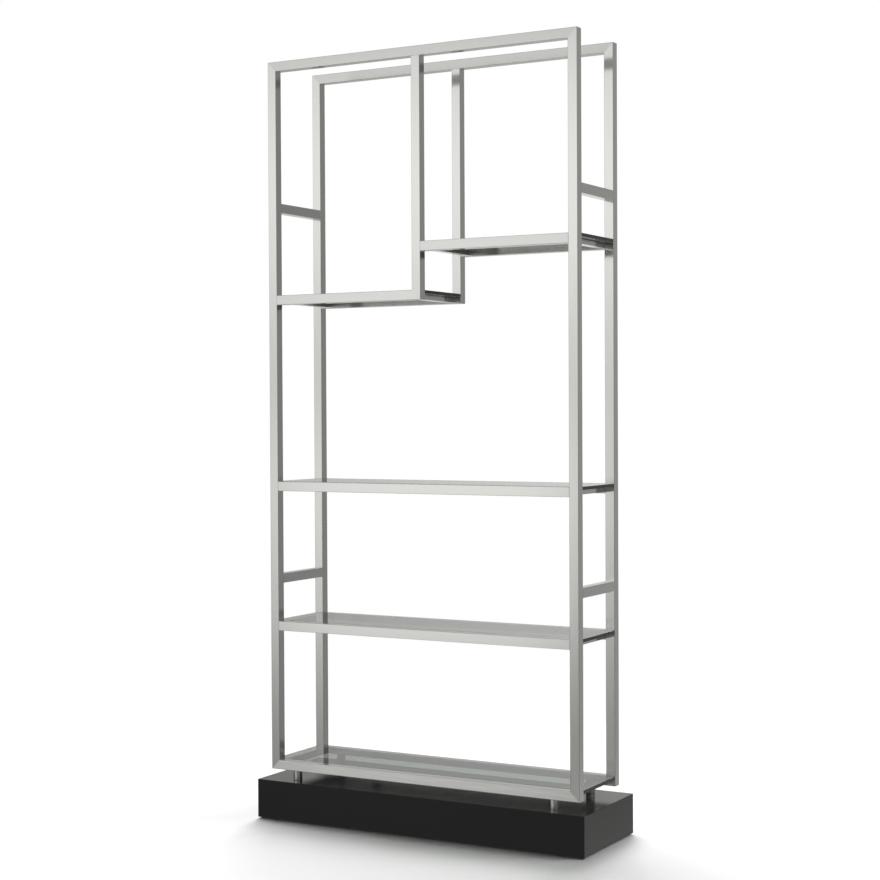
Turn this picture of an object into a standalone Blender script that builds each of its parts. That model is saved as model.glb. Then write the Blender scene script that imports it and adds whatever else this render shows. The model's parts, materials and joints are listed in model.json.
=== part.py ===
"""Open shelving unit: two welded frames of square steel tube that carry five glass shelves,
on four short round legs over a hollow stone base.

Metres, +Z up. The origin is on the floor under the middle of the unit, the front faces -Y.
"""

import math

import bmesh
import bpy
from mathutils import Matrix, Vector

# Frames: square steel tube, outer width of one flat frame and the depth over both
FRAME_WIDTH = 1.078
FRAME_DEPTH = 0.287
TUBE_SIZE = 0.030
TUBE_WALL = 0.0015
TUBE_CORNER_RADIUS = 0.0015
TUBE_BORE_RADIUS = 0.0005

# Clear heights, from the top of a shelf to the underside of the rail above it, and the
# step between the tops of the two upper shelves
BOTTOM_BAY_HEIGHT = 0.413
LOWER_BAY_HEIGHT = 0.414
MIDDLE_BAY_HEIGHT = 0.560
UPPER_SHELF_STEP = 0.147
UPPER_RIGHT_BAY_HEIGHT = 0.561

# Clear heights from the lower and the upper right shelf to the side rails above them,
# which tie the front posts to the back posts
LOWER_SIDE_RAIL_CLEARANCE = 0.119
UPPER_SIDE_RAIL_CLEARANCE = 0.116

# Glass shelves and what they lie on
GLASS_THICKNESS = 0.010
GLASS_ARRIS = 0.0006
GLASS_SIDE_CLEARANCE = 0.001
BEARER_WIDTH = 0.025
BEARER_HEIGHT = 0.015
BEARER_WALL = 0.0015
BEARER_CORNER_RADIUS = 0.0012
BEARER_BORE_RADIUS = 0.0004
BUMPER_RADIUS = 0.005
BUMPER_HEIGHT = 0.0008
BUMPER_INSET = 0.030

# Legs: turned steel spacers under the bottom rails
LEG_HEIGHT = 0.030
LEG_RADIUS = 0.014
LEG_INSET = 0.089
LEG_CHAMFER = 0.0006

# Bolts, and the rivet nuts that hold them in the bottom rails
BOLT_RADIUS = 0.004
BOLT_HOLE_CLEARANCE = 0.0006
BOLT_REACH = 0.013
BOLT_TIP_CHAMFER = 0.001
BOLT_FLANGE_RADIUS = 0.0089
BOLT_FLANGE_THICKNESS = 0.0015
BOLT_HEX_ACROSS_FLATS = 0.013
BOLT_HEX_HEIGHT = 0.0065
RIVET_BODY_RADIUS = 0.0055
RIVET_FLANGE_RADIUS = 0.008
RIVET_FLANGE_THICKNESS = 0.001
RIVET_BULB_RADIUS = 0.007
RIVET_BULB_HEIGHT = 0.004
RIVET_LENGTH = 0.016

# Base: stone slabs mitred into a box that is open below, with two battens inside
BASE_END_OVERHANG = 0.031
BASE_FACE_OVERHANG = 0.0345
BASE_HEIGHT = 0.121
SLAB_THICKNESS = 0.020
BATTEN_THICKNESS = 0.018
BATTEN_EDGE_FROM_BOLTS = 0.020
GLIDE_RADIUS = 0.009
GLIDE_HEIGHT = 0.004
GLIDE_CHAMFER = 0.0008
GLIDE_INSET = 0.070

# Gap between pieces that touch, how far a cutter runs past what it cuts, and how far
# a piece sinks into the one it is fused with
TOUCH_GAP = 0.0003
CUT_OVERRUN = 0.001
FUSE_DEPTH = 0.0005

# Facets
TUBE_CORNER_STEPS = 2
ROUND_SIDES = 32
SMALL_ROUND_SIDES = 20

# Tops of the shelves and side rails above the underside of the frames
LOWER_SHELF_HEIGHT = TUBE_SIZE + BOTTOM_BAY_HEIGHT + TUBE_SIZE
MIDDLE_SHELF_HEIGHT = LOWER_SHELF_HEIGHT + LOWER_BAY_HEIGHT + TUBE_SIZE
UPPER_LEFT_SHELF_HEIGHT = MIDDLE_SHELF_HEIGHT + MIDDLE_BAY_HEIGHT + TUBE_SIZE
UPPER_RIGHT_SHELF_HEIGHT = UPPER_LEFT_SHELF_HEIGHT + UPPER_SHELF_STEP
LOWER_SIDE_RAIL_HEIGHT = LOWER_SHELF_HEIGHT + LOWER_SIDE_RAIL_CLEARANCE + TUBE_SIZE
UPPER_SIDE_RAIL_HEIGHT = UPPER_RIGHT_SHELF_HEIGHT + UPPER_SIDE_RAIL_CLEARANCE + TUBE_SIZE
FRAME_HEIGHT = UPPER_RIGHT_SHELF_HEIGHT + UPPER_RIGHT_BAY_HEIGHT + TUBE_SIZE

# Other levels and places that follow from the sizes
BASE_WIDTH = FRAME_WIDTH + 2 * BASE_END_OVERHANG
BASE_DEPTH = FRAME_DEPTH + 2 * BASE_FACE_OVERHANG
BASE_TOP = GLIDE_HEIGHT + BASE_HEIGHT
FRAME_BASE = BASE_TOP + LEG_HEIGHT
HALF_TUBE = TUBE_SIZE / 2
POST_X = FRAME_WIDTH / 2 - HALF_TUBE
FRAME_Y = FRAME_DEPTH / 2 - HALF_TUBE
LEG_X = FRAME_WIDTH / 2 - LEG_INSET
INNER_DEPTH = FRAME_DEPTH - 2 * TUBE_SIZE
MITRE_SETBACK = TOUCH_GAP / math.sqrt(2)
BOLT_HOLE_RADIUS = BOLT_RADIUS + BOLT_HOLE_CLEARANCE

SQUARE_CUT = 0
RISING_MITRE = 1
FALLING_MITRE = -1

SIDES = {"left": -1, "right": 1}
FACES = {"front": -1, "back": 1}


def clear_scene():
    """Remove every object that the scene starts with."""
    for obj in list(bpy.data.objects):
        bpy.data.objects.remove(obj, do_unlink=True)


def material(name, colour, roughness, metallic, transmission=0.0):
    """A Principled material for one kind of finish."""
    made = bpy.data.materials.new(name)
    made.use_nodes = True
    shader = made.node_tree.nodes["Principled BSDF"]
    shader.inputs["Base Color"].default_value = (*colour, 1.0)
    shader.inputs["Roughness"].default_value = roughness
    shader.inputs["Metallic"].default_value = metallic
    shader.inputs["Transmission Weight"].default_value = transmission
    made.diffuse_color = (*colour, 1.0)
    return made


def mesh_from(name, bm, smooth=False):
    """Close a bmesh into a mesh whose faces point outwards."""
    bmesh.ops.remove_doubles(bm, verts=bm.verts, dist=TOUCH_GAP / 100)
    bmesh.ops.recalc_face_normals(bm, faces=bm.faces)
    mesh = bpy.data.meshes.new(name)
    bm.to_mesh(mesh)
    bm.free()
    if smooth:
        mesh.shade_smooth()
        mesh.set_sharp_from_angle(angle=math.radians(35))
    return mesh


def place(name, mesh, finish, location=(0, 0, 0), rotation=(0, 0, 0), parent=None):
    """Put a mesh into the scene as one named piece."""
    obj = bpy.data.objects.new(name, mesh)
    if not mesh.materials:
        mesh.materials.append(finish)
    obj.location = location
    obj.rotation_euler = rotation
    obj.parent = parent
    bpy.context.collection.objects.link(obj)
    return obj


def empty(name, location):
    """A point that pieces are parented to."""
    obj = bpy.data.objects.new(name, None)
    obj.location = location
    bpy.context.collection.objects.link(obj)
    return obj


def boolean(obj, tool, operation):
    """Cut a hidden tool away from a piece, or fuse it on."""
    tool.hide_render = True
    tool.display_type = "WIRE"
    modifier = obj.modifiers.new(tool.name, "BOOLEAN")
    modifier.operation = operation
    modifier.solver = "EXACT"
    modifier.object = tool


def rounded_rectangle(width, height, radius, steps):
    """Points round a rectangle whose corners are arcs of the given radius."""
    points = []
    corners = ((1, 1, 0), (-1, 1, 90), (-1, -1, 180), (1, -1, 270))
    for side_x, side_y, start in corners:
        centre = Vector((side_x * (width / 2 - radius), side_y * (height / 2 - radius)))
        for step in range(steps + 1):
            angle = math.radians(start + 90 * step / steps)
            points.append(centre + radius * Vector((math.cos(angle), math.sin(angle))))
    return points


def tube_mesh(name, section, length, start=SQUARE_CUT, end=SQUARE_CUT):
    """A hollow tube along +Z from 0 to length, with open ends.

    section is (width, height, wall, corner radius, bore corner radius). A mitred end
    leans with X, up (rising) or down (falling), and its point stays at the full length.
    """
    width, height, wall, radius, bore_radius = section
    outer = rounded_rectangle(width, height, radius, TUBE_CORNER_STEPS)
    bore = rounded_rectangle(width - 2 * wall, height - 2 * wall, bore_radius, TUBE_CORNER_STEPS)

    def low(x):
        setback = MITRE_SETBACK if start else TOUCH_GAP
        return start * x + abs(start) * width / 2 + setback

    def high(x):
        setback = MITRE_SETBACK if end else TOUCH_GAP
        return length + end * x - abs(end) * width / 2 - setback

    bm = bmesh.new()
    rings = []
    for points, level in ((outer, low), (outer, high), (bore, high), (bore, low)):
        rings.append([bm.verts.new((x, y, level(x))) for x, y in points])
    for ring, following in zip(rings, rings[1:] + rings[:1]):
        for i in range(len(ring)):
            j = (i + 1) % len(ring)
            bm.faces.new((ring[i], ring[j], following[j], following[i]))
    return mesh_from(name, bm, smooth=True)


def turned_mesh(name, profile, sides):
    """A profile of (radius, height) points turned round Z.

    A profile that starts and ends on the axis makes a solid piece, any other a ring.
    """
    bm = bmesh.new()
    verts = [bm.verts.new((radius, 0, height)) for radius, height in profile]
    edges = [bm.edges.new(pair) for pair in zip(verts, verts[1:])]
    if profile[0][0] > 0:
        edges.append(bm.edges.new((verts[-1], verts[0])))
    bmesh.ops.spin(bm, geom=verts + edges, cent=(0, 0, 0), axis=(0, 0, 1),
                   angle=2 * math.pi, steps=sides, use_merge=True)
    return mesh_from(name, bm, smooth=True)


def block_mesh(name, size, arris=0):
    """A box round the origin, with its edges broken where arris is given."""
    bm = bmesh.new()
    bmesh.ops.create_cube(bm, size=1)
    bmesh.ops.scale(bm, vec=size, verts=bm.verts)
    if arris:
        bmesh.ops.bevel(bm, geom=bm.edges[:], offset=arris, segments=1, affect="EDGES")
    return mesh_from(name, bm)


def rod(name, radius, low, high, sides=SMALL_ROUND_SIDES):
    """Mesh of a plain round bar on Z between two heights."""
    return turned_mesh(name, [(0, low), (radius, low), (radius, high), (0, high)], sides)


def make_frame(face, steel):
    """One flat frame of nine tubes, parented to an empty at its bottom centre."""
    origin = empty(f"{face}_frame", (0, FACES[face] * FRAME_Y, FRAME_BASE))
    section = (TUBE_SIZE, TUBE_SIZE, TUBE_WALL, TUBE_CORNER_RADIUS, TUBE_BORE_RADIUS)

    def post(name, x, low, high, start, end):
        mesh = tube_mesh(name, section, high - low, start, end)
        return place(f"{face}_{name}", mesh, steel, (x, 0, low), parent=origin)

    def rail(name, left, right, top, start=SQUARE_CUT, end=SQUARE_CUT):
        mesh = tube_mesh(name, section, right - left, start, end)
        turn = (0, math.radians(90), 0)
        return place(f"{face}_{name}", mesh, steel, (left, 0, top - HALF_TUBE), turn, origin)

    left_outside = -FRAME_WIDTH / 2
    right_outside = FRAME_WIDTH / 2
    left_inside = left_outside + TUBE_SIZE
    right_inside = right_outside - TUBE_SIZE
    post("left_post", -POST_X, 0, FRAME_HEIGHT, RISING_MITRE, FALLING_MITRE)
    post("right_post", POST_X, 0, FRAME_HEIGHT, FALLING_MITRE, RISING_MITRE)
    post("middle_post", 0, UPPER_LEFT_SHELF_HEIGHT - TUBE_SIZE, FRAME_HEIGHT - TUBE_SIZE,
         FALLING_MITRE, SQUARE_CUT)
    rail("top_rail", left_outside, right_outside, FRAME_HEIGHT, RISING_MITRE, FALLING_MITRE)
    bottom = rail("bottom_rail", left_outside, right_outside, TUBE_SIZE,
                  FALLING_MITRE, RISING_MITRE)
    rail("lower_rail", left_inside, right_inside, LOWER_SHELF_HEIGHT)
    rail("middle_rail", left_inside, right_inside, MIDDLE_SHELF_HEIGHT)
    rail("upper_left_rail", left_inside, HALF_TUBE, UPPER_LEFT_SHELF_HEIGHT,
         SQUARE_CUT, RISING_MITRE)
    rail("upper_right_rail", HALF_TUBE, right_inside, UPPER_RIGHT_SHELF_HEIGHT)
    for side, sign in SIDES.items():
        hole_radius = RIVET_BODY_RADIUS + TOUCH_GAP
        mesh = rod("rivet_nut_hole", hole_radius, -CUT_OVERRUN, TUBE_WALL + CUT_OVERRUN)
        tool = place(f"cut_{face}_{side}_rivet_nut_hole", mesh, steel, (sign * LEG_X, 0, 0),
                     parent=origin)
        boolean(bottom, tool, "DIFFERENCE")


def make_side_rails(steel):
    """Rails from the front posts to the back posts, flush with the posts' outer sides."""
    section = (TUBE_SIZE, TUBE_SIZE, TUBE_WALL, TUBE_CORNER_RADIUS, TUBE_BORE_RADIUS)
    mesh = tube_mesh("side_rail", section, INNER_DEPTH)
    turn = (math.radians(-90), 0, 0)
    for level, top in (("lower", LOWER_SIDE_RAIL_HEIGHT), ("upper", UPPER_SIDE_RAIL_HEIGHT)):
        for side, sign in SIDES.items():
            corner = (sign * POST_X, -INNER_DEPTH / 2, FRAME_BASE + top - HALF_TUBE)
            place(f"{level}_{side}_side_rail", mesh, steel, corner, turn)


def shelves():
    """Name, height of the top, and the left and right ends of each glass shelf."""
    left = -FRAME_WIDTH / 2
    right = FRAME_WIDTH / 2
    return (
        ("bottom", TUBE_SIZE, left, right),
        ("lower", LOWER_SHELF_HEIGHT, left, right),
        ("middle", MIDDLE_SHELF_HEIGHT, left, right),
        ("upper_left", UPPER_LEFT_SHELF_HEIGHT, left, HALF_TUBE),
        ("upper_right", UPPER_RIGHT_SHELF_HEIGHT, -HALF_TUBE, right),
    )


def bearer_mesh(steel):
    """A low tube from back to front with two bumpers fused on top, top at height 0."""
    section = (BEARER_WIDTH, BEARER_HEIGHT, BEARER_WALL, BEARER_CORNER_RADIUS,
               BEARER_BORE_RADIUS)
    body = place("bearer_body", tube_mesh("bearer", section, INNER_DEPTH), steel,
                 (0, -INNER_DEPTH / 2, -BUMPER_HEIGHT - BEARER_HEIGHT / 2),
                 (math.radians(-90), 0, 0))
    bumper = rod("bumper", BUMPER_RADIUS, -BUMPER_HEIGHT - FUSE_DEPTH, 0)
    tools = []
    for sign in (-1, 1):
        tool = place("bearer_bumper", bumper, steel, (0, sign * (INNER_DEPTH / 2 - BUMPER_INSET), 0))
        boolean(body, tool, "UNION")
        tools.append(tool)
    bpy.context.view_layer.update()
    graph = bpy.context.evaluated_depsgraph_get()
    mesh = bpy.data.meshes.new_from_object(body.evaluated_get(graph))
    mesh.transform(body.matrix_world)
    for obj in tools + [body]:
        bpy.data.objects.remove(obj, do_unlink=True)
    return mesh


def make_shelves(steel, glass):
    """Five glass panels, each on two bearers just inside the posts at its ends."""
    bearer = bearer_mesh(steel)
    depth = INNER_DEPTH - 2 * GLASS_SIDE_CLEARANCE
    for name, top, left, right in shelves():
        z = FRAME_BASE + top
        size = (right - left, depth, GLASS_THICKNESS)
        mesh = block_mesh(f"{name}_glass", size, GLASS_ARRIS)
        place(f"{name}_shelf_glass", mesh, glass,
              ((left + right) / 2, 0, z - GLASS_THICKNESS / 2))
        reach = TUBE_SIZE + BEARER_WIDTH / 2
        for side, x in (("left", left + reach), ("right", right - reach)):
            seat = (x, 0, z - GLASS_THICKNESS - TOUCH_GAP)
            place(f"{name}_shelf_{side}_bearer", bearer, steel, seat)


def slab_mesh(name, half_width, low, high, mitred_low):
    """A stone slab whose face is in XY at height 0 and whose mitred edges lean inwards.

    The ends and the high edge are mitred, and the low edge where mitred_low is true.
    """
    bm = bmesh.new()
    rings = []
    for depth in (0, SLAB_THICKNESS):
        x = half_width - MITRE_SETBACK - depth
        y_low = low + MITRE_SETBACK + depth if mitred_low else low
        y_high = high - MITRE_SETBACK - depth
        corners = ((-x, y_low), (x, y_low), (x, y_high), (-x, y_high))
        rings.append([bm.verts.new((cx, cy, -depth)) for cx, cy in corners])
    bm.faces.new(rings[0])
    bm.faces.new(rings[1])
    for i in range(4):
        j = (i + 1) % 4
        bm.faces.new((rings[0][i], rings[0][j], rings[1][j], rings[1][i]))
    return mesh_from(name, bm)


def make_base(stone, timber, nylon):
    """The stone box, its two battens and its glides."""
    mesh = slab_mesh("base_top", BASE_WIDTH / 2, -BASE_DEPTH / 2, BASE_DEPTH / 2, True)
    top = place("base_top_slab", mesh, stone, (0, 0, BASE_TOP))
    walls = (
        ("front", 0, BASE_WIDTH / 2, BASE_DEPTH / 2),
        ("right", 90, BASE_DEPTH / 2, BASE_WIDTH / 2),
        ("back", 180, BASE_WIDTH / 2, BASE_DEPTH / 2),
        ("left", 270, BASE_DEPTH / 2, BASE_WIDTH / 2),
    )
    for name, turn, half_width, reach in walls:
        mesh = slab_mesh(f"base_{name}", half_width, 0, BASE_HEIGHT, False)
        angle = math.radians(turn)
        corner = Matrix.Rotation(angle, 3, "Z") @ Vector((0, -reach, GLIDE_HEIGHT))
        place(f"base_{name}_slab", mesh, stone, corner, (math.radians(90), 0, angle))

    batten_length = BASE_WIDTH - 2 * (SLAB_THICKNESS + TOUCH_GAP)
    batten_outside = BASE_DEPTH / 2 - SLAB_THICKNESS - TOUCH_GAP
    batten_inside = FRAME_Y - BATTEN_EDGE_FROM_BOLTS
    batten_width = batten_outside - batten_inside
    batten_y = (batten_outside + batten_inside) / 2
    batten_z = BASE_TOP - SLAB_THICKNESS - TOUCH_GAP - BATTEN_THICKNESS / 2
    hole = rod("bolt_hole", BOLT_HOLE_RADIUS, -SLAB_THICKNESS - BATTEN_THICKNESS - 2 * CUT_OVERRUN,
               CUT_OVERRUN)
    glide = turned_mesh("glide", [
        (0, 0),
        (GLIDE_RADIUS - GLIDE_CHAMFER, 0),
        (GLIDE_RADIUS, GLIDE_CHAMFER),
        (GLIDE_RADIUS, GLIDE_HEIGHT - TOUCH_GAP),
        (0, GLIDE_HEIGHT - TOUCH_GAP),
    ], SMALL_ROUND_SIDES)
    for face, sign_y in FACES.items():
        mesh = block_mesh(f"{face}_batten", (batten_length, batten_width, BATTEN_THICKNESS))
        batten = place(f"base_{face}_batten", mesh, timber, (0, sign_y * batten_y, batten_z))
        for side, sign_x in SIDES.items():
            tool = place(f"cut_{face}_{side}_bolt_hole", hole, stone,
                         (sign_x * LEG_X, sign_y * FRAME_Y, BASE_TOP))
            boolean(top, tool, "DIFFERENCE")
            boolean(batten, tool, "DIFFERENCE")
            foot = (sign_x * (BASE_WIDTH / 2 - GLIDE_INSET),
                    sign_y * (BASE_DEPTH / 2 - SLAB_THICKNESS / 2), 0)
            place(f"{face}_{side}_glide", glide, nylon, foot)


def leg_mesh():
    """A turned sleeve, bored for the bolt and recessed for the rivet nut's flange."""
    low = TOUCH_GAP
    high = LEG_HEIGHT - TOUCH_GAP
    recess_radius = RIVET_FLANGE_RADIUS + TOUCH_GAP
    recess_floor = LEG_HEIGHT - RIVET_FLANGE_THICKNESS - 2 * TOUCH_GAP
    return turned_mesh("leg", [
        (BOLT_HOLE_RADIUS, low),
        (LEG_RADIUS - LEG_CHAMFER, low),
        (LEG_RADIUS, low + LEG_CHAMFER),
        (LEG_RADIUS, high - LEG_CHAMFER),
        (LEG_RADIUS - LEG_CHAMFER, high),
        (recess_radius, high),
        (recess_radius, recess_floor),
        (BOLT_HOLE_RADIUS, recess_floor),
    ], ROUND_SIDES)


def rivet_nut_mesh():
    """A rivet nut set in the wall of a bottom rail, whose underside is at height 0."""
    bore = BOLT_RADIUS + TOUCH_GAP
    flange_top = -TOUCH_GAP
    flange_low = flange_top - RIVET_FLANGE_THICKNESS
    bulb_low = TUBE_WALL + TOUCH_GAP
    bulb_high = bulb_low + RIVET_BULB_HEIGHT
    return turned_mesh("rivet_nut", [
        (bore, flange_low),
        (RIVET_FLANGE_RADIUS, flange_low),
        (RIVET_FLANGE_RADIUS, flange_top),
        (RIVET_BODY_RADIUS, flange_top),
        (RIVET_BODY_RADIUS, bulb_low),
        (RIVET_BULB_RADIUS, (bulb_low + bulb_high) / 2),
        (RIVET_BODY_RADIUS, bulb_high),
        (RIVET_BODY_RADIUS, RIVET_LENGTH),
        (bore, RIVET_LENGTH),
    ], SMALL_ROUND_SIDES)


def bolt_mesh(zinc):
    """A flange bolt that points up, with its flange's upper face at height 0."""
    batten_underside = BASE_TOP - SLAB_THICKNESS - BATTEN_THICKNESS - 2 * TOUCH_GAP
    tip = FRAME_BASE + BOLT_REACH - batten_underside
    shank = turned_mesh("bolt", [
        (0, -BOLT_FLANGE_THICKNESS),
        (BOLT_FLANGE_RADIUS, -BOLT_FLANGE_THICKNESS),
        (BOLT_FLANGE_RADIUS, 0),
        (BOLT_RADIUS, 0),
        (BOLT_RADIUS, tip - BOLT_TIP_CHAMFER),
        (BOLT_RADIUS - BOLT_TIP_CHAMFER, tip),
        (0, tip),
    ], SMALL_ROUND_SIDES)
    hex_radius = BOLT_HEX_ACROSS_FLATS / math.sqrt(3)
    head = rod("bolt_head", hex_radius, -BOLT_FLANGE_THICKNESS - BOLT_HEX_HEIGHT,
               -BOLT_FLANGE_THICKNESS + FUSE_DEPTH, 6)
    body = place("bolt_body", shank, zinc)
    tool = place("bolt_head", head, zinc)
    boolean(body, tool, "UNION")
    bpy.context.view_layer.update()
    graph = bpy.context.evaluated_depsgraph_get()
    mesh = bpy.data.meshes.new_from_object(body.evaluated_get(graph))
    for obj in (tool, body):
        bpy.data.objects.remove(obj, do_unlink=True)
    return mesh


def make_legs(steel, zinc):
    """Four legs between the base and the bottom rails, each with its bolt and rivet nut."""
    leg = leg_mesh()
    nut = rivet_nut_mesh()
    bolt = bolt_mesh(zinc)
    seat = BASE_TOP - SLAB_THICKNESS - BATTEN_THICKNESS - 2 * TOUCH_GAP
    for face, sign_y in FACES.items():
        for side, sign_x in SIDES.items():
            x = sign_x * LEG_X
            y = sign_y * FRAME_Y
            place(f"{face}_{side}_leg", leg, steel, (x, y, BASE_TOP))
            place(f"{face}_{side}_rivet_nut", nut, zinc, (x, y, FRAME_BASE))
            place(f"{face}_{side}_bolt", bolt, zinc, (x, y, seat))


def build():
    clear_scene()
    steel = material("brushed_steel", (0.56, 0.56, 0.53), 0.34, 1.0)
    glass = material("shelf_glass", (0.78, 0.86, 0.83), 0.05, 0.0, 0.9)
    stone = material("black_stone", (0.014, 0.014, 0.015), 0.12, 0.0)
    timber = material("batten_timber", (0.55, 0.40, 0.24), 0.7, 0.0)
    zinc = material("zinc_steel", (0.62, 0.63, 0.64), 0.4, 1.0)
    nylon = material("glide_nylon", (0.02, 0.02, 0.02), 0.6, 0.0)
    for face in FACES:
        make_frame(face, steel)
    make_side_rails(steel)
    make_shelves(steel, glass)
    make_base(stone, timber, nylon)
    make_legs(steel, zinc)


build()
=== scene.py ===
"""Looks of an open shelving unit: brushed steel frames, grey glass shelves and a black stone base."""

import json
import math

import bpy
import numpy as np
from mathutils import Matrix, Vector


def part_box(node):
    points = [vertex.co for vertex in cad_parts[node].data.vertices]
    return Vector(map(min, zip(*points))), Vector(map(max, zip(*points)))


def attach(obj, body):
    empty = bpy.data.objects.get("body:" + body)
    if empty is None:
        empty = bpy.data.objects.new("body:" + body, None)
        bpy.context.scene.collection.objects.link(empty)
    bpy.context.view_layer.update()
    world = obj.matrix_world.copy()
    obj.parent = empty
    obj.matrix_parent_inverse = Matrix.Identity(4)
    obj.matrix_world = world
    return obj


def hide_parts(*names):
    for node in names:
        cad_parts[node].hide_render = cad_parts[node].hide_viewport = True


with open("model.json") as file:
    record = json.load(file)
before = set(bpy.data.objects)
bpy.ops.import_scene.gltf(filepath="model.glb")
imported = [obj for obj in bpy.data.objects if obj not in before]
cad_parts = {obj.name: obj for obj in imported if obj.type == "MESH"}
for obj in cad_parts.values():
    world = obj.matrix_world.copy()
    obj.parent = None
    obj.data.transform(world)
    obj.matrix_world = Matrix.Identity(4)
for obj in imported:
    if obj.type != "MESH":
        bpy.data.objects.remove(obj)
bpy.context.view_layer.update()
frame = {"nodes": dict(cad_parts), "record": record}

MM = 0.001

# The photograph's view: image size and focal length in pixels, sensor width in millimetres,
# and where the camera stands and how it is turned, in metres and radians
IMAGE_SIZE = 880
FOCAL_PIXELS = 1804.5
SENSOR_WIDTH = 36.0
CAMERA_PLACE = Vector((2.736, -4.891, 1.301))
CAMERA_YAW = 0.5099
CAMERA_PITCH = -0.0174
CAMERA_ROLL = -0.0048

# The solids of the frame stand this far apart, and at a mitre each is set back by its share
TOUCH_GAP = 0.3 * MM
MITRE_SETBACK = TOUCH_GAP / math.sqrt(2)
# Gap left where tubes are welded and ground flush, and where slabs are glued
SEAM = 0.04 * MM

# Square tube of the frames and low tube of the bearers: width, height, wall, corner radius
# and the radius inside the corner
FRAME_TUBE = (30 * MM, 30 * MM, 1.5 * MM, 1.4 * MM, 0.5 * MM)
BEARER_TUBE = (25 * MM, 15 * MM, 1.5 * MM, 1.2 * MM, 0.4 * MM)
CORNER_STEPS = 6

BUMPER_HEIGHT = 0.8 * MM
BUMPER_RADIUS = 5 * MM
BUMPER_INSET = 30 * MM
BUMPER_STEPS = 24
BUMPER_RIM_STEPS = 6

GLASS_ARRIS = 0.8 * MM
STONE_ARRIS = 0.7 * MM
SLAB_THICKNESS = 20 * MM
ARRIS_STEPS = 4
# The legs' places, the bolts' holes, and the rivet nuts' holes in the bottom rails' lower walls
LEG_X = 450 * MM
LEG_Y = 128.5 * MM
BOLT_HOLE_RADIUS = 4.6 * MM
RIVET_HOLE_RADIUS = 5.8 * MM
HOLE_STEPS = 32
LEG_ARRIS = 0.8 * MM
ROUND_STEPS = 64
# The recess in a leg's top for the rivet nut's flange
RECESS_RADIUS = 8.3 * MM
RECESS_DEPTH = 1.3 * MM

# Edges that turn by more degrees than this stay sharp
SHARP_ANGLE = 35

# Half the width of the floor, and the distances between which it turns plain white, in metres
FLOOR_REACH = 40.0
WHITE_FROM = 1.2
WHITE_TO = 2.4
# Strength of the studio's light on matt surfaces, and through glass as a share of the full one
PLAIN_LIGHT = 0.15
THROUGH_GLASS = 0.3

SHELVES = ("bottom", "lower", "middle", "upper_left", "upper_right")
FACES = ("front", "back")
SIDES = ("left", "right")


def linear(hex_colour):
    """An sRGB hex colour as linear red, green, blue and alpha 1."""
    parts = [int(hex_colour[i:i + 2], 16) / 255 for i in (1, 3, 5)]
    lit = [p / 12.92 if p <= 0.04045 else ((p + 0.055) / 1.055) ** 2.4 for p in parts]
    return (*lit, 1.0)


def node(tree, kind, links=(), stops=(), **settings):
    """Add a node. settings are its properties or sockets, links pair a socket with its source
    or with a plain number, and stops are the places and colours of a colour ramp."""
    made = tree.nodes.new(kind)
    for name, value in settings.items():
        if hasattr(made, name):
            setattr(made, name, value)
        else:
            made.inputs[name.replace("_", " ")].default_value = value
    for socket, source in links:
        if isinstance(source, float):
            made.inputs[socket].default_value = source
        else:
            tree.links.new(source, made.inputs[socket])
    for element, (place, colour) in zip(made.color_ramp.elements if stops else (), stops):
        element.position = place
        element.color = linear(colour)
    return made


def new_material(name):
    """A material with an empty node tree."""
    made = bpy.data.materials.new(name)
    made.use_nodes = True
    made.node_tree.nodes.clear()
    return made, made.node_tree


def brushed_stainless():
    """Stainless steel tube, belt-brushed along its length: pale grey whose highlights spread
    across the brush lines and stay sharp along them."""
    made, tree = new_material("brushed_stainless")
    uv = node(tree, "ShaderNodeUVMap", uv_map="UVMap")
    # V runs along the tube. Brush lines are 0.1 mm apart, too fine to show: these are 0.5 mm
    fine = node(tree, "ShaderNodeMapping", [("Vector", uv.outputs["UV"])],
                Scale=(1 / (0.5 * MM), 1 / (60 * MM), 1))
    lines = node(tree, "ShaderNodeTexNoise", [("Vector", fine.outputs[0])],
                 Scale=1.0, Detail=3.0, Roughness=0.6)
    # Belt marks: bands a few millimetres wide where the belt pressed harder
    broad = node(tree, "ShaderNodeMapping", [("Vector", uv.outputs["UV"])],
                 Scale=(1 / (9 * MM), 1 / (130 * MM), 1))
    marks = node(tree, "ShaderNodeTexNoise", [("Vector", broad.outputs[0])],
                 Scale=1.0, Detail=2.0)
    both = node(tree, "ShaderNodeMix", [("A", lines.outputs["Fac"]), ("B", marks.outputs["Fac"])],
                Factor=0.7)
    tone = node(tree, "ShaderNodeValToRGB", [("Fac", both.outputs[0])],
                [(0.3, "#C5C5C3"), (0.7, "#CBCBCA")])
    rough = node(tree, "ShaderNodeMapRange", [("Value", both.outputs[0])],
                 From_Min=0.3, From_Max=0.7, To_Min=0.15, To_Max=0.18)
    bump = node(tree, "ShaderNodeBump", [("Height", lines.outputs["Fac"])],
                Strength=0.03, Distance=0.03 * MM)
    across = node(tree, "ShaderNodeTangent", direction_type="UV_MAP", uv_map="UVMap")
    shader = node(tree, "ShaderNodeBsdfPrincipled",
                  [("Base Color", tone.outputs["Color"]), ("Roughness", rough.outputs[0]),
                   ("Normal", bump.outputs[0]), ("Tangent", across.outputs[0])],
                  Metallic=1.0, Anisotropic=0.9)
    node(tree, "ShaderNodeOutputMaterial", [("Surface", shader.outputs[0])])
    return made


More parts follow.
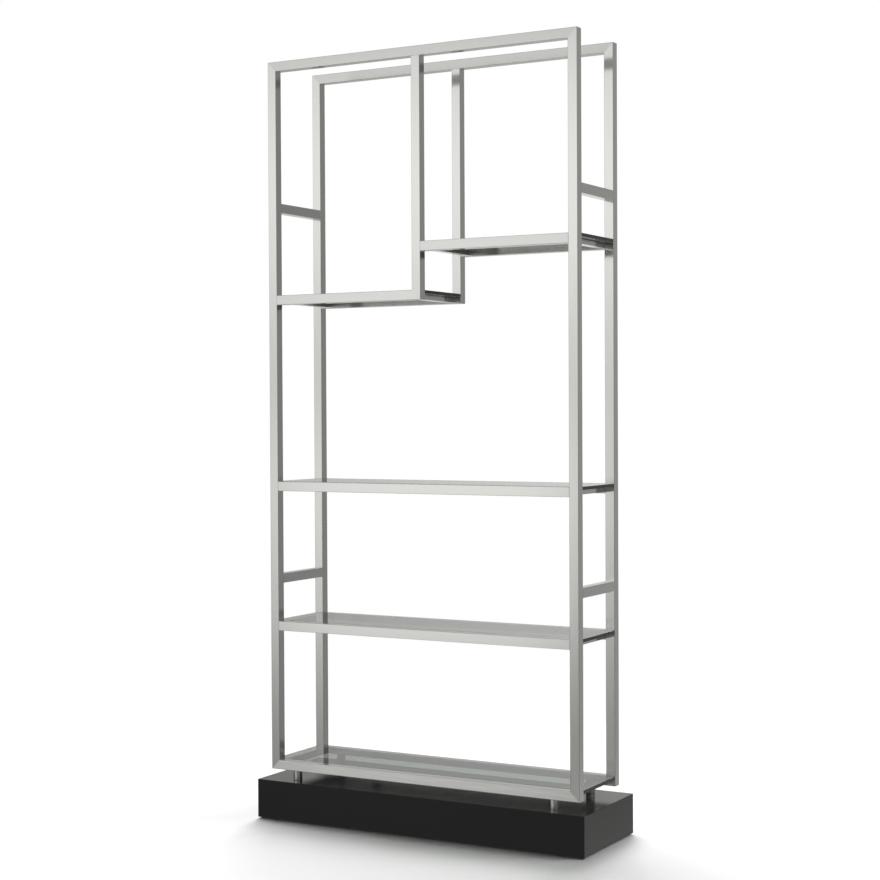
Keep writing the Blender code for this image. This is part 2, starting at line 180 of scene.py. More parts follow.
def turned_stainless():
    """Stainless bar, turned on a lathe: fine rings round it draw each highlight into a bright
    upright line."""
    made, tree = new_material("turned_stainless")
    uv = node(tree, "ShaderNodeUVMap", uv_map="UVMap")
    # U runs along the profile. The feed marks are 0.1 mm apart, drawn here at 0.4 mm
    feed = node(tree, "ShaderNodeMapping", [("Vector", uv.outputs["UV"])],
                Scale=(1 / (0.4 * MM), 1 / (40 * MM), 1))
    rings = node(tree, "ShaderNodeTexNoise", [("Vector", feed.outputs[0])],
                 Scale=1.0, Detail=2.0)
    rough = node(tree, "ShaderNodeMapRange", [("Value", rings.outputs["Fac"])],
                 From_Min=0.3, From_Max=0.7, To_Min=0.13, To_Max=0.16)
    tone = node(tree, "ShaderNodeValToRGB", [("Fac", rings.outputs["Fac"])],
                [(0.3, "#D2D2CF"), (0.7, "#DADAD7")])
    along = node(tree, "ShaderNodeTangent", direction_type="UV_MAP", uv_map="UVMap")
    shader = node(tree, "ShaderNodeBsdfPrincipled",
                  [("Base Color", tone.outputs["Color"]), ("Roughness", rough.outputs[0]),
                   ("Tangent", along.outputs[0])], Metallic=1.0, Anisotropic=0.5)
    node(tree, "ShaderNodeOutputMaterial", [("Surface", shader.outputs[0])])
    return made


def grey_float_glass():
    """Grey float glass with polished edges: a little over a third of the light comes through
    10 mm of it, so it looks smoky from above and nearly black at its edges."""
    made, tree = new_material("grey_float_glass")
    place = node(tree, "ShaderNodeTexCoord")
    # Roller waves of float glass, 60 mm apart and far less than a hair deep
    wave = node(tree, "ShaderNodeTexNoise", [("Vector", place.outputs["Object"])],
                Scale=1 / (60 * MM), Detail=1.0)
    bump = node(tree, "ShaderNodeBump", [("Height", wave.outputs["Fac"])],
                Strength=0.2, Distance=0.02 * MM)
    shader = node(tree, "ShaderNodeBsdfPrincipled", [("Normal", bump.outputs[0])],
                  Base_Color=linear("#FFFFFF"), Roughness=0.0, IOR=1.52,
                  Transmission_Weight=1.0)
    inside = node(tree, "ShaderNodeVolumeAbsorption", Color=linear("#30653F"), Density=110.0)
    # Lamp light goes straight through to the floor, dimmed by the glass itself
    path = node(tree, "ShaderNodeLightPath")
    clear = node(tree, "ShaderNodeBsdfTransparent")
    mix = node(tree, "ShaderNodeMixShader", [(0, path.outputs["Is Shadow Ray"]),
                                             (1, shader.outputs[0]), (2, clear.outputs[0])])
    node(tree, "ShaderNodeOutputMaterial",
         [("Surface", mix.outputs[0]), ("Volume", inside.outputs[0])])
    return made


def polished_granite():
    """Black granite, polished: nearly black with fine grey crystals, and a soft mirror when
    it is seen at a low angle."""
    made, tree = new_material("polished_black_granite")
    place = node(tree, "ShaderNodeTexCoord")
    grain = node(tree, "ShaderNodeTexVoronoi", [("Vector", place.outputs["Object"])],
                 Scale=1 / (1.6 * MM))
    speck = node(tree, "ShaderNodeValToRGB", [("Fac", grain.outputs["Color"])],
                 [(0.5, "#050506"), (0.95, "#0E0E0F")])
    cloud = node(tree, "ShaderNodeTexNoise", [("Vector", place.outputs["Object"])],
                 Scale=1 / (70 * MM), Detail=4.0)
    rough = node(tree, "ShaderNodeMapRange", [("Value", cloud.outputs["Fac"])],
                 From_Min=0.3, From_Max=0.7, To_Min=0.12, To_Max=0.16)
    shader = node(tree, "ShaderNodeBsdfPrincipled",
                  [("Base Color", speck.outputs["Color"]), ("Roughness", rough.outputs[0])],
                  IOR=1.4)
    node(tree, "ShaderNodeOutputMaterial", [("Surface", shader.outputs[0])])
    return made


def planed_softwood():
    """Planed softwood batten: pale, with long grain bands and darker late wood."""
    made, tree = new_material("planed_softwood")
    place = node(tree, "ShaderNodeTexCoord")
    stretch = node(tree, "ShaderNodeMapping", [("Vector", place.outputs["Object"])],
                   Scale=(1 / (400 * MM), 1 / (9 * MM), 1 / (9 * MM)))
    bands = node(tree, "ShaderNodeTexNoise", [("Vector", stretch.outputs[0])],
                 Scale=1.0, Detail=5.0, Distortion=0.4)
    tone = node(tree, "ShaderNodeValToRGB", [("Fac", bands.outputs["Fac"])],
                [(0.35, "#A97B4B"), (0.6, "#D2AE7C")])
    bump = node(tree, "ShaderNodeBump", [("Height", bands.outputs["Fac"])],
                Strength=0.2, Distance=0.2 * MM)
    shader = node(tree, "ShaderNodeBsdfPrincipled",
                  [("Base Color", tone.outputs["Color"]), ("Normal", bump.outputs[0])],
                  Roughness=0.7)
    node(tree, "ShaderNodeOutputMaterial", [("Surface", shader.outputs[0])])
    return made


def zinc_plated_steel():
    """Zinc-plated steel: cool grey with a cloudy film that is left by its bath."""
    made, tree = new_material("zinc_plated_steel")
    place = node(tree, "ShaderNodeTexCoord")
    cloud = node(tree, "ShaderNodeTexNoise", [("Vector", place.outputs["Object"])],
                 Scale=1 / (6 * MM), Detail=3.0)
    tone = node(tree, "ShaderNodeValToRGB", [("Fac", cloud.outputs["Fac"])],
                [(0.3, "#B4B8BC"), (0.7, "#D3D2C8")])
    rough = node(tree, "ShaderNodeMapRange", [("Value", cloud.outputs["Fac"])],
                 To_Min=0.28, To_Max=0.42)
    shader = node(tree, "ShaderNodeBsdfPrincipled",
                  [("Base Color", tone.outputs["Color"]), ("Roughness", rough.outputs[0])],
                  Metallic=1.0)
    node(tree, "ShaderNodeOutputMaterial", [("Surface", shader.outputs[0])])
    return made


def moulded_nylon():
    """Injection-moulded black nylon: dark and dull, with a fine sparked grain."""
    made, tree = new_material("moulded_nylon")
    place = node(tree, "ShaderNodeTexCoord")
    grain = node(tree, "ShaderNodeTexNoise", [("Vector", place.outputs["Object"])],
                 Scale=1 / (0.8 * MM), Detail=2.0)
    bump = node(tree, "ShaderNodeBump", [("Height", grain.outputs["Fac"])],
                Strength=0.3, Distance=0.05 * MM)
    shader = node(tree, "ShaderNodeBsdfPrincipled", [("Normal", bump.outputs[0])],
                  Base_Color=linear("#1E1E1F"), Roughness=0.55)
    node(tree, "ShaderNodeOutputMaterial", [("Surface", shader.outputs[0])])
    return made


def cast_silicone():
    """Cast silicone bumper: clear, slightly milky, with a gloss that isn't quite even."""
    made, tree = new_material("cast_silicone")
    place = node(tree, "ShaderNodeTexCoord")
    film = node(tree, "ShaderNodeTexNoise", [("Vector", place.outputs["Object"])],
                Scale=1 / (2 * MM), Detail=1.0)
    rough = node(tree, "ShaderNodeMapRange", [("Value", film.outputs["Fac"])],
                 To_Min=0.2, To_Max=0.35)
    shader = node(tree, "ShaderNodeBsdfPrincipled", [("Roughness", rough.outputs[0])],
                  Base_Color=linear("#F2F4F3"), IOR=1.41, Transmission_Weight=0.85)
    node(tree, "ShaderNodeOutputMaterial", [("Surface", shader.outputs[0])])
    return made


STEEL = brushed_stainless()
LEG_STEEL = turned_stainless()
GLASS = grey_float_glass()
STONE = polished_granite()
WOOD = planed_softwood()
ZINC = zinc_plated_steel()
NYLON = moulded_nylon()
SILICONE = cast_silicone()

BODIES = frame["record"]["behaviour"]["bodies"]


def body_of(cad_node):
    """Name of the body that a CAD node belongs to."""
    return next(name for name, members in BODIES.items() if cad_node in members)


def surface(name, rings, closed, uvs=None):
    """A mesh that runs through rings of points, from each ring to the next.

    rings[i, j] is point j of ring i, and each ring closes on itself. A closed surface also runs
    from its last ring to its first, as a tube does through its bore. Any other is capped by
    strips that join point j of an end ring to the point that mirrors it. uvs[i, j] gives the
    U and V of the same points, with one more row and column for where a ring meets itself.
    """
    n, m = rings.shape[:2]
    steps = n if closed else n - 1
    i, j = np.meshgrid(np.arange(steps), np.arange(m), indexing="ij")
    corners = [(i, j), (i, j + 1), (i + 1, j + 1), (i + 1, j)]
    quads = np.stack([(a % n) * m + b % m for a, b in corners], axis=-1).reshape(-1, 4)
    if not closed:
        k = np.arange(m // 2 - 1)
        cap = np.stack([k, m - 1 - k, m - 2 - k, k + 1], axis=-1)
        quads = np.concatenate([quads, cap, (n - 1) * m + cap[:, ::-1]])
    mesh = bpy.data.meshes.new(name)
    mesh.vertices.add(n * m)
    mesh.vertices.foreach_set("co", rings.astype(np.float32).ravel())
    mesh.loops.add(quads.size)
    mesh.loops.foreach_set("vertex_index", quads.astype(np.int32).ravel())
    mesh.polygons.add(len(quads))
    mesh.polygons.foreach_set("loop_start", np.arange(0, quads.size, 4, dtype=np.int32))
    mesh.update(calc_edges=True)
    if uvs is not None:
        spread = np.stack([uvs[a, b] for a, b in corners], axis=-2)
        layer = mesh.uv_layers.new(name="UVMap")
        layer.data.foreach_set("uv", spread.astype(np.float32).ravel())
    mesh.validate()
    return mesh


def turned(profile, centre, steps):
    """Rings of points from a profile of (radius, height) turned round an upright axis:
    centre + radius * (cos a, sin a), with U along the profile and V round it, in metres."""
    angles = np.linspace(0, 2 * math.pi, steps, endpoint=False)
    rings = np.zeros((len(profile), steps, 3))
    rings[..., 0] = centre[0] + profile[:, :1] * np.cos(angles)
    rings[..., 1] = centre[1] + profile[:, :1] * np.sin(angles)
    rings[..., 2] = profile[:, 1:]
    closed = np.concatenate([profile, profile[:1]])
    run = np.concatenate([[0], np.cumsum(np.linalg.norm(np.diff(closed, axis=0), axis=1))])
    uvs = np.zeros((len(closed), steps + 1, 2))
    uvs[..., 0] = run[:, None]
    uvs[..., 1] = np.linspace(0, 2 * math.pi, steps + 1) * profile[:, 0].max()
    return rings, uvs


def quarter(radius, steps):
    """A quarter round as (inset, depth) from a face to the side below it, both 0 to radius."""
    turn = np.radians(np.linspace(0, 90, steps + 1))
    return radius * np.stack([1 - np.sin(turn), 1 - np.cos(turn)], axis=1)


def drilled(mesh, centres, radius, low, high):
    """The mesh with an upright hole from low to high at each centre. What is taken away is a
    plug whose rings are centre + radius * (cos a, sin a)."""
    block = bpy.data.objects.new("block", mesh)
    plugs = []
    for centre in centres:
        rings, _ = turned(np.array([(radius, low), (radius, high)]), centre, HOLE_STEPS)
        plug = bpy.data.objects.new("plug", surface("plug", rings, False))
        cut = block.modifiers.new("hole", "BOOLEAN")
        cut.operation = "DIFFERENCE"
        cut.object = plug
        plugs.append(plug)
    for obj in (block, *plugs):
        bpy.context.scene.collection.objects.link(obj)
    depsgraph = bpy.context.evaluated_depsgraph_get()
    made = bpy.data.meshes.new_from_object(block.evaluated_get(depsgraph))
    for obj in (block, *plugs):
        bpy.data.objects.remove(obj)
    return made


def skin(name, mesh, finish, cad_node):
    """A piece with the mesh and finish that stands for a CAD node and moves with its body."""
    mesh.shade_smooth()
    mesh.set_sharp_from_angle(angle=math.radians(SHARP_ANGLE))
    mesh.materials.clear()
    mesh.materials.append(finish)
    obj = bpy.data.objects.new(name, mesh)
    bpy.context.scene.collection.objects.link(obj)
    flat = obj.modifiers.new("flat faces stay flat", "WEIGHTED_NORMAL")
    flat.keep_sharp = True
    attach(obj, body_of(cad_node))
    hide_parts(cad_node)


def rounded_rectangle(width, height, radius, steps):
    """Points round a rectangle with its corners as arcs: centre + radius * (cos a, sin a)."""
    angles = np.radians(np.concatenate([90 * i + np.linspace(0, 90, steps + 1) for i in range(4)]))
    signs = np.repeat([(1, 1), (-1, 1), (-1, -1), (1, -1)], steps + 1, axis=0)
    centres = signs * np.array([width / 2 - radius, height / 2 - radius])
    return centres + radius * np.stack([np.cos(angles), np.sin(angles)], axis=1)


def tube(name, cad_node, axis, lean_axis, section, low, high, leans):
    """A tube along one axis between two corners of its box, with open, mitred or square ends.

    The section's outline is carried along the tube and back through the bore, in four rings:
    outline at the start, outline at the end, bore at the end, bore at the start. A mitred end
    leans by its lean times the point's place on lean_axis, so its tip stays at the full length.
    U goes round the outline and V along the tube, both in metres.
    """
    width, height, wall, radius, bore_radius = section
    third_axis = 3 - axis - lean_axis
    centre = (low + high) / 2
    outline = rounded_rectangle(width, height, radius, CORNER_STEPS)
    bore = rounded_rectangle(width - 2 * wall, height - 2 * wall, bore_radius, CORNER_STEPS)
    rings = np.zeros((4, len(outline), 3))
    for ring, points, end in zip(rings, (outline, outline, bore, bore), (0, 1, 1, 0)):
        lean = leans[end]
        tip, inward = (high[axis], -1) if end else (low[axis], 1)
        ring[:, axis] = tip + lean * points[:, 0] + inward * abs(lean) * width / 2
        ring[:, lean_axis] = centre[lean_axis] + points[:, 0]
        ring[:, third_axis] = centre[third_axis] + points[:, 1]
    # Where the three axes are in a left-handed order, the rings run the other way
    if (lean_axis, third_axis, axis) not in ((0, 1, 2), (1, 2, 0), (2, 0, 1)):
        rings = rings[:, ::-1]
    loop = np.concatenate([rings[0], rings[0][:1]])
    loop[:, axis] = 0
    about = np.concatenate([[0], np.cumsum(np.linalg.norm(np.diff(loop, axis=0), axis=1))])
    uvs = np.zeros((5, len(about), 2))
    uvs[..., 0] = about
    along = rings[[0, 1, 2, 3, 0], :, axis]
    uvs[..., 1] = np.concatenate([along, along[:, :1]], axis=1)
    mesh = surface(name, rings, True, uvs)
    if cad_node in ("front_bottom_rail", "back_bottom_rail"):
        centres = [(x, centre[1]) for x in (-LEG_X, LEG_X)]
        mesh = drilled(mesh, centres, RIVET_HOLE_RADIUS, low[2] - wall, low[2] + 2 * wall)
    skin(name, mesh, STEEL, cad_node)


def make_frames():
    """The tubes of both frames, the side rails and the bearers, each where its solid is.

    A solid's box ends short of the joint by the gap that touching solids keep. The tube is
    carried on to the joint, and only the seam is left.
    """
    # For each tube of a frame: the axis it runs along, and how its ends lean
    members = {
        "left_post": (2, (1, -1)),
        "right_post": (2, (-1, 1)),
        "middle_post": (2, (-1, 0)),
        "top_rail": (0, (-1, 1)),
        "bottom_rail": (0, (1, -1)),
        "lower_rail": (0, (0, 0)),
        "middle_rail": (0, (0, 0)),
        "upper_left_rail": (0, (0, -1)),
        "upper_right_rail": (0, (0, 0)),
    }
    runs = [(f"{face}_{member}", axis, 2 - axis, leans)
            for face in FACES for member, (axis, leans) in members.items()]
    runs += [(f"{level}_{side}_side_rail", 1, 0, (0, 0))
             for level in ("lower", "upper") for side in SIDES]
    for cad_node, axis, lean_axis, leans in runs:
        low, high = (np.array(corner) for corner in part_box(cad_node))
        setbacks = [MITRE_SETBACK if lean else TOUCH_GAP for lean in leans]
        low[axis] -= setbacks[0] - SEAM
        high[axis] += setbacks[1] - SEAM
        tube(f"{cad_node}_tube", cad_node, axis, lean_axis, FRAME_TUBE, low, high, leans)


def make_bearers():
    """The low tube under each end of a shelf, and the two clear bumpers on top of it.

    A bumper is a disc with a rounded rim: rings of points round its centre, from underneath
    out to the rim and over it, with radius and height from the profile.
    """
    for shelf in SHELVES:
        for side in SIDES:
            cad_node = f"{shelf}_shelf_{side}_bearer"
            low, high = (np.array(corner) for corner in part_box(cad_node))
            top = high[2]
            high[2] -= BUMPER_HEIGHT
            low[1] -= TOUCH_GAP - SEAM
            high[1] += TOUCH_GAP - SEAM
            tube(f"{cad_node}_tube", cad_node, 1, 0, BEARER_TUBE, low, high, (0, 0))
            for end, y in (("front", low[1] + BUMPER_INSET), ("back", high[1] - BUMPER_INSET)):
                rim = np.radians(np.linspace(-90, 90, BUMPER_RIM_STEPS + 1))
                half = (BUMPER_HEIGHT + TOUCH_GAP) / 2 - SEAM
                profile = np.stack([BUMPER_RADIUS - half + half * np.cos(rim),
                                    top - BUMPER_HEIGHT + SEAM + half + half * np.sin(rim)], axis=1)
                centre = ((low[0] + high[0]) / 2, y)
                rings, _ = turned(profile, centre, BUMPER_STEPS)
                name = f"{shelf}_shelf_{side}_{end}_bumper"
                skin(name, surface(name, rings, False), SILICONE, cad_node)


def make_legs():
    """The legs: a turned sleeve with rounded rims, bored for the bolt.

    Its profile goes up the outside, in over the top rim, down the recess for the rivet nut's
    flange and the bore, and out over the bottom rim.
    """
    rim = quarter(LEG_ARRIS, ARRIS_STEPS)
    for face in FACES:
        for side in SIDES:
            cad_node = f"{face}_{side}_leg"
            low, high = (np.array(corner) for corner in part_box(cad_node))
            radius = (high[0] - low[0]) / 2
            bottom = low[2] - TOUCH_GAP + SEAM
            top = high[2] + TOUCH_GAP - SEAM
            lower_rim = np.stack([radius - rim[:, 0], bottom + rim[:, 1]], axis=1)
            upper_rim = np.stack([radius - rim[:, 0], top - rim[:, 1]], axis=1)[::-1]
            inside = np.array([
                (RECESS_RADIUS, top),
                (RECESS_RADIUS, top - RECESS_DEPTH),
                (BOLT_HOLE_RADIUS, top - RECESS_DEPTH),
                (BOLT_HOLE_RADIUS, bottom),
            ])
            profile = np.concatenate([lower_rim, upper_rim, inside])
            rings, uvs = turned(profile, (low + high)[:2] / 2, ROUND_STEPS)
            name = f"{cad_node}_sleeve"
            skin(name, surface(name, rings, True, uvs), LEG_STEEL, cad_node)


def make_glass():
    """The glass panels, with a small round arris on every edge.

    Each ring is the panel's outline drawn in by the inset of the profile: up over the lower
    arris, up the side and in over the upper arris. The corners are eased by the same radius.
    """
    arris = quarter(GLASS_ARRIS, ARRIS_STEPS)
    for shelf in SHELVES:
        cad_node = f"{shelf}_shelf_glass"
        low, high = (np.array(corner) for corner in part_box(cad_node))
        lower = np.stack([arris[:, 0], low[2] + arris[:, 1]], axis=1)
        upper = np.stack([arris[:, 0], high[2] - arris[:, 1]], axis=1)[::-1]
        rings = []
        for inset, height in np.concatenate([lower, upper]):
            width, depth = (high - low)[:2] - 2 * inset
            radius = 2 * GLASS_ARRIS - inset
            outline = rounded_rectangle(width, depth, radius, ARRIS_STEPS)
            outline = outline + (low + high)[:2] / 2
            rings.append(np.column_stack([outline, np.full(len(outline), height)]))
        name = f"{cad_node}_panel"
        skin(name, surface(name, np.array(rings), False), GLASS, cad_node)


def slab(cad_node, across, rise, depth_axis, outward, mitred_low):
    """A stone slab whose mitred edges end in half of a round arris.

    Its rings are rectangles in the plane of across and rise. Going in from the face, a mitred
    edge is drawn in by radius * (1 - sin a) while the depth is radius * (1 - cos a), until both
    are the same at 45 degrees, and from there by as much as the depth. The low edge of a wall
    is square with a full quarter round.
    """
    low, high = (np.array(corner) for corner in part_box(cad_node))
    trim = MITRE_SETBACK - SEAM
    turn = np.radians(np.linspace(0, 45, ARRIS_STEPS + 1))
    eased = STONE_ARRIS * np.stack([1 - np.sin(turn), 1 - np.cos(turn)], axis=1)
    full = STONE_ARRIS * np.stack([1 - np.sin(2 * turn), 1 - np.cos(2 * turn)], axis=1)
    profile = np.concatenate([eased, [(SLAB_THICKNESS - SEAM, SLAB_THICKNESS - SEAM)]])
    square = np.concatenate([full, [(0, SLAB_THICKNESS - SEAM)]])
    rings = []
    for (inset, depth), (low_inset, low_depth) in zip(profile, square):
        ring = np.zeros((4, 3))
        left = low[across] - trim + inset
        right = high[across] + trim - inset
        bottom = low[rise] - trim + inset if mitred_low else low[rise] + low_inset
        top = high[rise] + trim - inset
        ring[:, across] = (left, right, right, left)
        ring[:, rise] = (bottom, bottom, top, top)
        face = high[depth_axis] if outward > 0 else low[depth_axis]
        ring[:, depth_axis] = face - outward * depth
        if not mitred_low:
            ring[:2, depth_axis] = face - outward * low_depth
        rings.append(ring)
    rings = np.array(rings)
    first = rings[0]
    # The rings run the other way where the slab would be inside out
    facing = np.cross(first[1] - first[0], first[2] - first[1])[depth_axis] * outward
    if facing > 0:
        rings = rings[:, ::-1]
    name = f"{cad_node}_stone"
    mesh = surface(name, rings, False)
    if cad_node == "base_top_slab":
        centres = [(x, y) for x in (-LEG_X, LEG_X) for y in (-LEG_Y, LEG_Y)]
        mesh = drilled(mesh, centres, BOLT_HOLE_RADIUS, low[2] - MM, high[2] + MM)
    skin(name, mesh, STONE, cad_node)


def make_base():
    """The five stone slabs of the base."""
    slab("base_top_slab", 0, 1, 2, 1, True)
    slab("base_front_slab", 0, 2, 1, -1, False)
    slab("base_back_slab", 0, 2, 1, 1, False)
    slab("base_left_slab", 1, 2, 0, -1, False)
    slab("base_right_slab", 1, 2, 0, 1, False)


def dress_nodes():
    """The CAD nodes' own finishes, by the material slot that the record gives each. They show on
    the battens, bolts, rivet nuts and glides, which no piece replaces."""
    finishes = {"brushed_steel": STEEL, "shelf_glass": GLASS, "black_stone": STONE,
                "batten_timber": WOOD, "zinc_steel": ZINC, "glide_nylon": NYLON}
    slots = {part["node"]: part["material_slot"] for part in frame["record"]["subparts"]}
    for name, obj in frame["nodes"].items():
        obj.data.materials.clear()
        obj.data.materials.append(finishes[slots[name]])


def make_floor():
    """A pale floor that keeps the unit's soft shadow near it and is plain white further out."""
    mesh = bpy.data.meshes.new("floor")
    signs = [(-1, -1), (1, -1), (1, 1), (-1, 1)]
    corners = [(x * FLOOR_REACH, y * FLOOR_REACH, 0) for x, y in signs]
    mesh.from_pydata(corners, [], [(0, 1, 2, 3)])
    floor = bpy.data.objects.new("floor", mesh)
    bpy.context.scene.collection.objects.link(floor)
    made, tree = new_material("pale_floor")
    path = node(tree, "ShaderNodeLightPath")
    matt = node(tree, "ShaderNodeBsdfDiffuse", Color=linear("#DADADA"))
    white = node(tree, "ShaderNodeEmission", Strength=1.0)
    # The white shows to the camera and through the glass, as on a lit sweep
    place = node(tree, "ShaderNodeTexCoord")
    reach_out = node(tree, "ShaderNodeVectorMath", [(0, place.outputs["Object"])],
                     operation="LENGTH")
    far = node(tree, "ShaderNodeMapRange", [("Value", reach_out.outputs["Value"])],
               interpolation_type="SMOOTHSTEP", From_Min=WHITE_FROM, From_Max=WHITE_TO)
    direct = node(tree, "ShaderNodeMath",
                  [(0, path.outputs["Is Camera Ray"]), (1, path.outputs["Is Transmission Ray"])],
                  operation="MAXIMUM")
    seen = node(tree, "ShaderNodeMath",
                [(0, far.outputs[0]), (1, direct.outputs[0])], operation="MULTIPLY")
    mix = node(tree, "ShaderNodeMixShader",
               [(0, seen.outputs[0]), (1, matt.outputs[0]), (2, white.outputs[0])])
    node(tree, "ShaderNodeOutputMaterial", [("Surface", mix.outputs[0])])
    mesh.materials.append(made)
    floor.visible_glossy = False


def framed(direction, middle, half, soft, power=1.0):
    """Two steps that keep a light within half of the middle, with both edges faded over soft to
    each side. power is its strength."""
    low, high = middle - half, middle + half
    return [(direction, low - soft, low + soft, 0.0, power),
            (direction, high - soft, high + soft, 1.0, 0.0)]


def layered(tree, directions, level, layers):
    """Join each layer to the level by its operation. A layer is a product of steps, and a step
    goes smoothly from first to last while its direction goes from low to high."""
    for operation, steps in layers:
        layer = 1.0
        for direction, low, high, first, last in steps:
            value, unit = directions[direction]
            step = node(tree, "ShaderNodeMapRange", [("Value", value)],
                        interpolation_type="SMOOTHSTEP", From_Min=low * unit,
                        From_Max=high * unit, To_Min=first, To_Max=last)
            product = node(tree, "ShaderNodeMath", [(0, layer), (1, step.outputs[0])],
                           operation="MULTIPLY")
            layer = product.outputs[0]
        joined = node(tree, "ShaderNodeMath", [(0, level), (1, layer)], operation=operation)
        level = joined.outputs[0]
    return level


def make_world():
    """White to the camera, and a studio that only reflections show.

    A direction has an azimuth, in degrees from the front (-Y) towards the left (-X), and a
    height, the sine of its elevation. An elevation in degrees is taken as a height by its size
    in radians, which is close for the small angles here.
    """
    world = bpy.data.worlds.new("studio")
    bpy.context.scene.world = world
    world.use_nodes = True
    tree = world.node_tree
    tree.nodes.clear()
    place = node(tree, "ShaderNodeTexCoord")
    split = node(tree, "ShaderNodeSeparateXYZ", [("Vector", place.outputs["Generated"])])
    left = node(tree, "ShaderNodeMath", [(0, split.outputs["X"]), (1, -1.0)],
                operation="MULTIPLY")
    front = node(tree, "ShaderNodeMath", [(0, split.outputs["Y"]), (1, -1.0)],
                 operation="MULTIPLY")
    azimuth = node(tree, "ShaderNodeMath", [(0, left.outputs[0]), (1, front.outputs[0])],
                   operation="ARCTAN2")
    degree = math.radians(1)
    directions = {"azimuth": (azimuth.outputs[0], degree),
                  "elevation": (split.outputs["Z"], degree),
                  "height": (split.outputs["Z"], 1.0)}
    walls = layered(tree, directions, 0.0, [
        # Dim in front and at the right, brighter at the left and brightest straight behind
        ("ADD", [("azimuth", 80, 125, 0.23, 0.33)]),
        ("ADD", [("azimuth", 125, 165, 0.0, 0.5)]),
        # Darker near the floor
        ("MULTIPLY", [("height", -0.36, -0.1, 0.3, 1.0)]),
        # Weak light in front on the right. Of the faces in the photograph only the legs show it
        ("MAXIMUM", framed("azimuth", -75, 45, 15) + [("height", -0.1, 0.1, 0.2, 0.42)]),
    ])
    right_wall = layered(tree, directions, 0.0, [
        # From straight behind it gets darker towards the right, where it ends
        ("ADD", [("azimuth", -180, -152, 0.83, 0.38)]),
        ("SUBTRACT", [("azimuth", -155, -138, 0.0, 0.13)]),
        ("MULTIPLY", [("azimuth", -110, -90, 1.0, 0.0), ("height", -0.4, -0.22, 0.2, 1.0)]),
    ])
    both = node(tree, "ShaderNodeMath", [(0, walls), (1, right_wall)], operation="MAXIMUM")
    level = layered(tree, directions, both.outputs[0], [
        # The walls are dimmer high up. A glow is overhead, and another low down
        ("MULTIPLY", [("height", 0.22, 0.38, 1.0, 0.4)]),
        ("ADD", [("height", 0.35, 0.8, 0.0, 0.6)]),
        ("ADD", [("height", -0.45, -0.24, 0.42, 0.0)]),
        # The pale floor, in front on the left and behind on the right
        ("ADD", [("height", -0.24, -0.12, 0.37, 0.0)] + framed("azimuth", 17, 26, 12)),
        ("ADD", [("height", -0.26, -0.18, 0.3, 0.0)] + framed("azimuth", -145, 20, 15)),
        # A wide softbox in front on the left, and a narrow one under it
        ("ADD", framed("azimuth", 25, 30, 30, 1.25) + framed("elevation", 7.1, 7.3, 8.7)),
        ("ADD", framed("azimuth", 29.7, 5.6, 3.0, 1.16) + framed("elevation", -4.8, 4.1, 2.9)),
        # A low strip behind on the left, and a weak tall light at the right
        ("ADD", framed("azimuth", 150, 30, 15, 0.35) + framed("elevation", -4.5, 2.5, 2.5)),
        ("ADD", framed("azimuth", -90, 14, 12, 0.12) + framed("elevation", 4, 20, 10)),
    ])
    path = node(tree, "ShaderNodeLightPath")
    dim = node(tree, "ShaderNodeMapRange", [("Value", path.outputs["Is Transmission Ray"])],
               To_Min=1.0, To_Max=THROUGH_GLASS)
    dimmed = node(tree, "ShaderNodeMath", [(0, level), (1, dim.outputs[0])],
                  operation="MULTIPLY")
    plain = node(tree, "ShaderNodeMix",
                 [("Factor", path.outputs["Is Diffuse Ray"]), ("A", dimmed.outputs[0])],
                 data_type="FLOAT", B=PLAIN_LIGHT)
    studio = node(tree, "ShaderNodeBackground", [("Strength", plain.outputs[0])],
                  Color=linear("#FFFFFC"))
    white = node(tree, "ShaderNodeBackground", Color=linear("#FFFFFF"), Strength=1.0)
    # White shows to the camera, and through glass unless metal has mirrored the ray before
    unmirrored = node(tree, "ShaderNodeMath", [(0, path.outputs["Glossy Depth"]), (1, 0.5)],
                      operation="LESS_THAN")
    through = node(tree, "ShaderNodeMath",
                   [(0, path.outputs["Is Transmission Ray"]), (1, unmirrored.outputs[0])],
                   operation="MULTIPLY")
    seen = node(tree, "ShaderNodeMath",
                [(0, path.outputs["Is Camera Ray"]), (1, through.outputs[0])],
                operation="MAXIMUM")
    mix = node(tree, "ShaderNodeMixShader",
               [(0, seen.outputs[0]), (1, studio.outputs[0]), (2, white.outputs[0])])
    node(tree, "ShaderNodeOutputWorld", [("Surface", mix.outputs[0])])


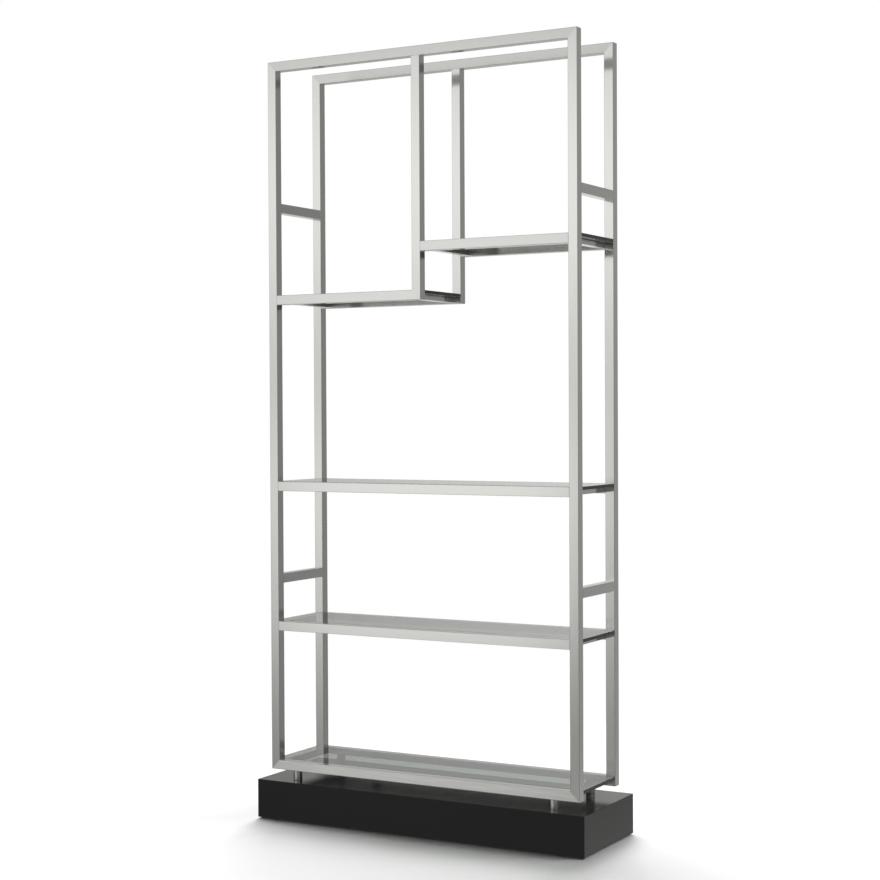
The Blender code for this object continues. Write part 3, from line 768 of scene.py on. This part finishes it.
def make_lamps():
    """Three wide soft lights behind the unit, one nearly straight behind and one to each side,
    that lay its shadow on the floor in front. Metal and glass don't show them."""
    # Azimuth from behind (+Y) towards the left (-X), elevation and width in degrees, and strength
    lights = {
        "back_light": (19, 34.5, 31, 3.15),
        "right_light": (-66, 41.5, 30, 1.4),
        "left_light": (55, 58, 35, 2.4),
    }
    for name, (azimuth, elevation, width, strength) in lights.items():
        data = bpy.data.lights.new(name, "SUN")
        data.angle = math.radians(width)
        data.energy = strength
        lamp = bpy.data.objects.new(name, data)
        heading, raised = math.radians(azimuth), math.radians(elevation)
        place = Vector((-math.sin(heading) * math.cos(raised),
                        math.cos(heading) * math.cos(raised), math.sin(raised)))
        turn = (-place).to_track_quat("-Z", "Y").to_matrix().to_4x4()
        lamp.matrix_world = Matrix.Translation(place) @ turn
        lamp.visible_glossy = False
        lamp.visible_transmission = False
        lamp.visible_camera = False
        bpy.context.scene.collection.objects.link(lamp)


def make_camera():
    """The photograph's camera. Its axes come from yaw, then pitch, then roll."""
    ahead = Vector((-math.sin(CAMERA_YAW), math.cos(CAMERA_YAW), 0))
    right = Vector((math.cos(CAMERA_YAW), math.sin(CAMERA_YAW), 0))
    up = Vector((0, 0, 1))
    look = ahead * math.cos(CAMERA_PITCH) + up * math.sin(CAMERA_PITCH)
    top = up * math.cos(CAMERA_PITCH) - ahead * math.sin(CAMERA_PITCH)
    rolled_right = right * math.cos(CAMERA_ROLL) + top * math.sin(CAMERA_ROLL)
    rolled_top = top * math.cos(CAMERA_ROLL) - right * math.sin(CAMERA_ROLL)
    data = bpy.data.cameras.new("camera")
    data.sensor_width = SENSOR_WIDTH
    data.lens = FOCAL_PIXELS * SENSOR_WIDTH / IMAGE_SIZE
    camera = bpy.data.objects.new("camera", data)
    turn = Matrix((rolled_right, rolled_top, -look)).transposed()
    camera.matrix_world = Matrix.Translation(CAMERA_PLACE) @ turn.to_4x4()
    bpy.context.scene.collection.objects.link(camera)
    bpy.context.scene.camera = camera


dress_nodes()
make_frames()
make_bearers()
make_legs()
make_glass()
make_base()
make_floor()
make_world()
make_lamps()
make_camera()
bpy.context.scene.view_settings.view_transform = "Standard"

bpy.context.view_layer.update()
